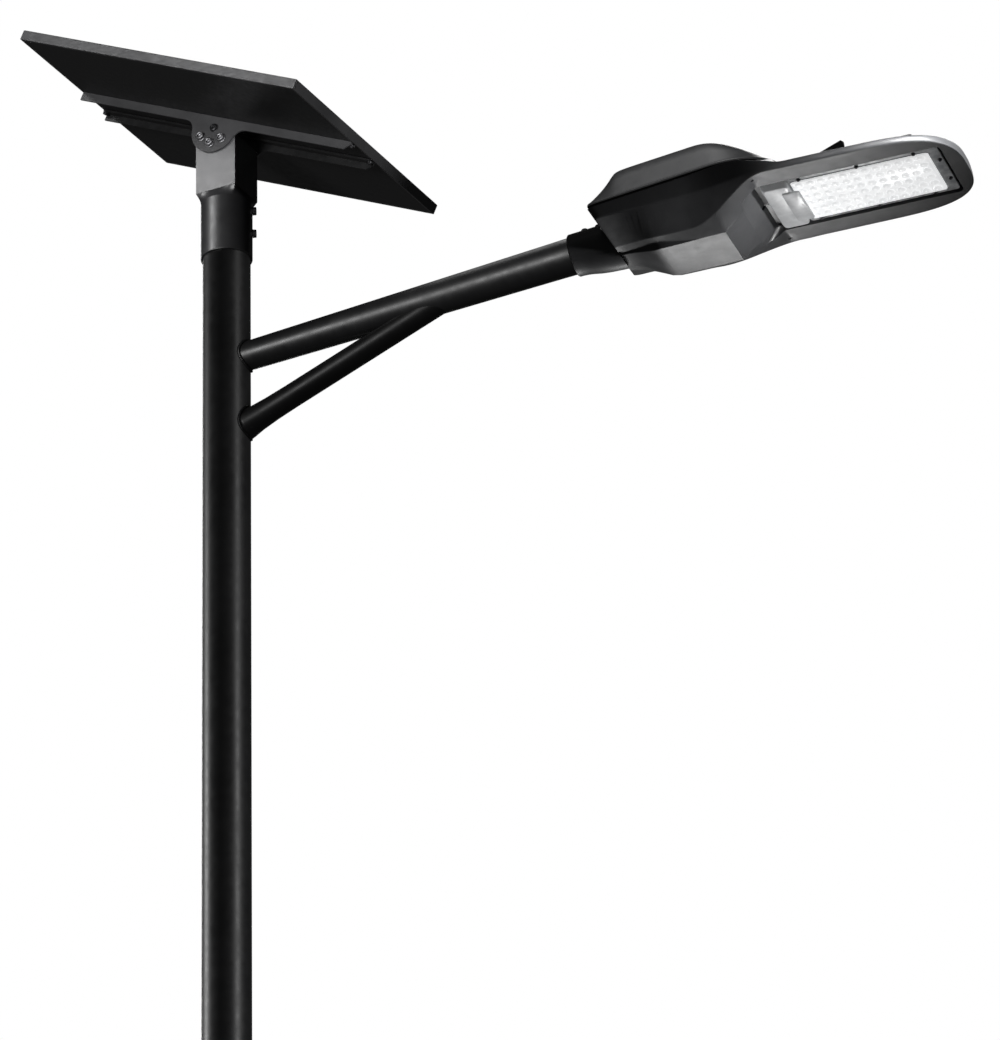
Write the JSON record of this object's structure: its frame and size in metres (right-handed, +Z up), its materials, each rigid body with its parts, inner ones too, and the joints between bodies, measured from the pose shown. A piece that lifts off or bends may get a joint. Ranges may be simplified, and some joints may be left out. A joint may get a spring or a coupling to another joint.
{
  "type": "solar street lamp",
  "caption": "Pole-mounted solar street lamp: tilting solar panel head, braced outreach arm and flat LED luminaire with a battery bay under a hinged lid.",
  "frame": {"origin": "centre of the base plate's underside, on the pole's axis, at the ground", "axes": "+Z up the pole, +X along the outreach arm towards the luminaire, +Y to the luminaire's far side"},
  "size_m": [1.4942, 0.5272, 3.3721],
  "materials": {
    "black_coat": "satin black powder coat on steel",
    "graphite_casting": "fine-textured graphite powder coat on die-cast aluminium",
    "black_anodised": "black anodised extrusion with a fine lengthwise grain",
    "solar_glass": "tempered glass over dark monocrystalline cells",
    "backsheet": "matt black laminated film",
    "dark_steel": "black-oxide fastener steel",
    "zinc_steel": "zinc plated",
    "seal_rubber": "matt silicone seal",
    "clear_lens": "clear moulded lens with a frosted edge",
    "white_board": "white solder-masked LED board",
    "battery_wrap": "blue shrink wrap",
    "black_plastic": "moulded with a fine texture"
  },
  "bodies": {
    "pole": {"base_plate": "black_coat", "base_gusset_1": "black_coat", "base_gusset_2": "black_coat", "base_gusset_3": "black_coat", "base_gusset_4": "black_coat", "pole_tube": "black_coat", "arm_tube": "black_coat", "brace_tube": "black_coat"},
    "panel_head": {"adapter_sleeve": "black_coat", "adapter_box": "black_coat", "sleeve_set_bolt_1": "dark_steel", "sleeve_set_bolt_2": "dark_steel", "pivot_bolt": "dark_steel", "pivot_nut": "dark_steel"},
    "panel": {"rail_near": "black_coat", "rail_far": "black_coat", "clamp_plate_near": "dark_steel", "clamp_plate_far": "dark_steel", "lock_bolt_near_1": "dark_steel", "lock_bolt_near_2": "dark_steel", "lock_bolt_near_3": "dark_steel", "lock_bolt_far_1": "dark_steel", "lock_bolt_far_2": "dark_steel", "lock_bolt_far_3": "dark_steel", "panel_frame_near": "black_anodised", "panel_frame_far": "black_anodised", "panel_frame_upper": "black_anodised", "panel_frame_lower": "black_anodised", "panel_glass": "solar_glass", "panel_backsheet": "backsheet", "panel_back_cover": "backsheet", "junction_box": "black_plastic", "junction_gland": "black_plastic", "rail_bolt_near_upper": "dark_steel", "rail_bolt_near_lower": "dark_steel", "rail_bolt_far_upper": "dark_steel", "rail_bolt_far_lower": "dark_steel"},
    "luminaire": {"lower_housing": "graphite_casting", "spigot_socket": "graphite_casting", "spigot_clamp_bolt_1": "zinc_steel", "spigot_clamp_bolt_2": "zinc_steel", "battery_pack": "battery_wrap", "charge_controller": "black_plastic", "led_board": "white_board", "lens_gasket": "seal_rubber", "lens_plate": "clear_lens", "driver_cover": "clear_lens", "lens_screw_1": "dark_steel", "lens_screw_2": "dark_steel", "lens_screw_3": "dark_steel", "lens_screw_4": "dark_steel", "lens_screw_5": "dark_steel", "lens_screw_6": "dark_steel", "lens_screw_7": "dark_steel", "lens_screw_8": "dark_steel", "heat_sink": "graphite_casting", "lid_gasket": "seal_rubber", "lid_hinge_pin": "zinc_steel"},
    "lid": {"battery_lid": "graphite_casting"},
    "latch": {"lid_latch": "zinc_steel"}
  },
  "joints": [
    {"name": "panel_turn", "type": "hinge", "parent": "pole", "child": "panel_head", "pos_m": [0, 0, 3.04], "axis": [0, 0, 1], "range_deg": [-180, 180]},
    {"name": "panel_tilt", "type": "hinge", "parent": "panel_head", "child": "panel", "pos_m": [0, 0, 3.2163], "axis": [0.1461, 0.9893, 0], "range_deg": [-20, 17]},
    {"name": "luminaire_roll", "type": "hinge", "parent": "pole", "child": "luminaire", "pos_m": [0.59527, 0, 2.8854], "axis": [0.9921, 0, 0.1253], "range_deg": [-15, 15]},
    {"name": "lid_open", "type": "hinge", "parent": "luminaire", "child": "lid", "pos_m": [0.94235, 0, 2.95445], "axis": [0, 1, 0], "range_deg": [0, 75]},
    {"name": "latch_swing", "type": "hinge", "parent": "lid", "child": "latch", "pos_m": [0.73003, 0.1042, 2.93569], "axis": [0.9921, 0, 0.1253], "range_deg": [0, 100]}
  ]
}
